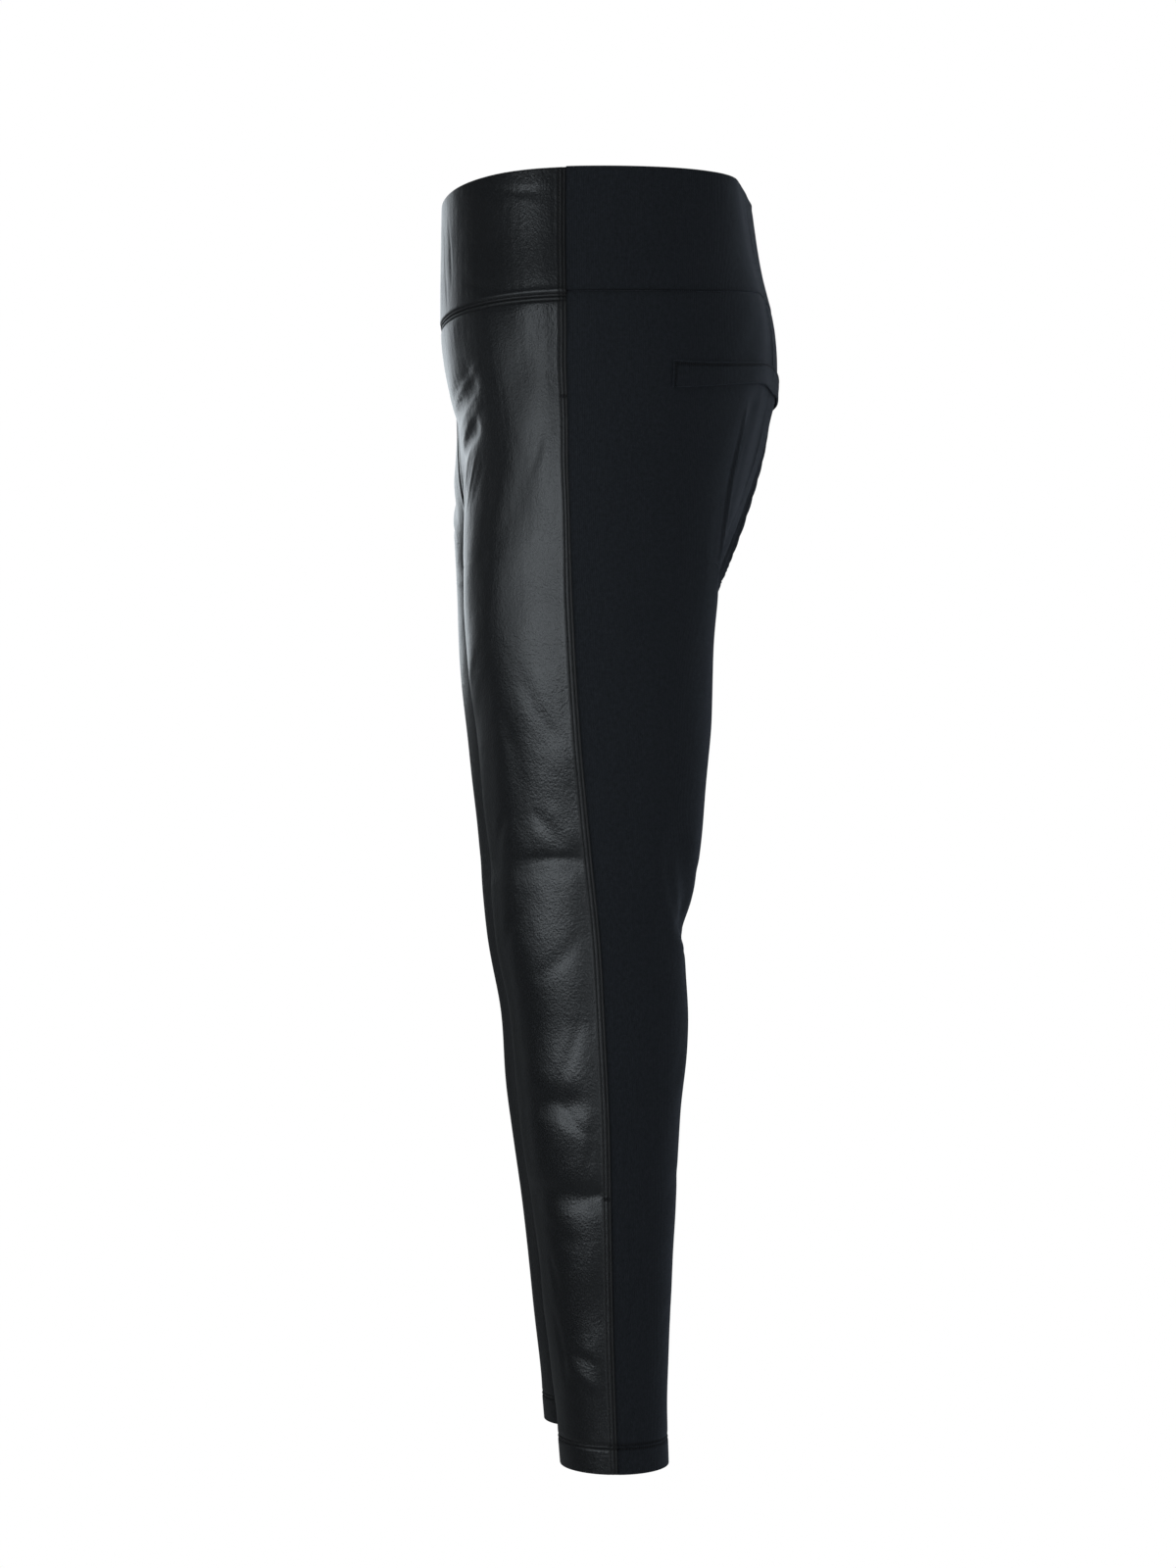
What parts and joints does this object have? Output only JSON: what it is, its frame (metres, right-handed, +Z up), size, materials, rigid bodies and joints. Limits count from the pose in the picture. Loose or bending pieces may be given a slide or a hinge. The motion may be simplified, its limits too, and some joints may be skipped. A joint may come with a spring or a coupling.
{
  "type": "high-waisted panelled leggings",
  "caption": "High-waisted pull-on ankle leggings with glossy coated front panels, matte knit back panels, a wide waistband and a long pocket welt across the seat.",
  "frame": {"origin": "centre of the opening at the waistband's top edge, on the centre line between the legs", "axes": "+Z up along the wearer's body, -Y towards the front, +X towards the wearer's left"},
  "size_m": [0.3862, 0.268, 0.9791],
  "materials": {
    "leather_look": "black coated leather-look fabric with a soft gloss and fine creases",
    "double_knit": "matte blue-black double knit with fine ribs"
  },
  "bodies": {
    "root": {"waistband_front": "leather_look", "waistband_back": "double_knit", "leg_front_left": "leather_look", "leg_front_right": "leather_look", "leg_back_left": "double_knit", "leg_back_right": "double_knit", "pocket_welt": "double_knit"}
  },
  "joints": []
}
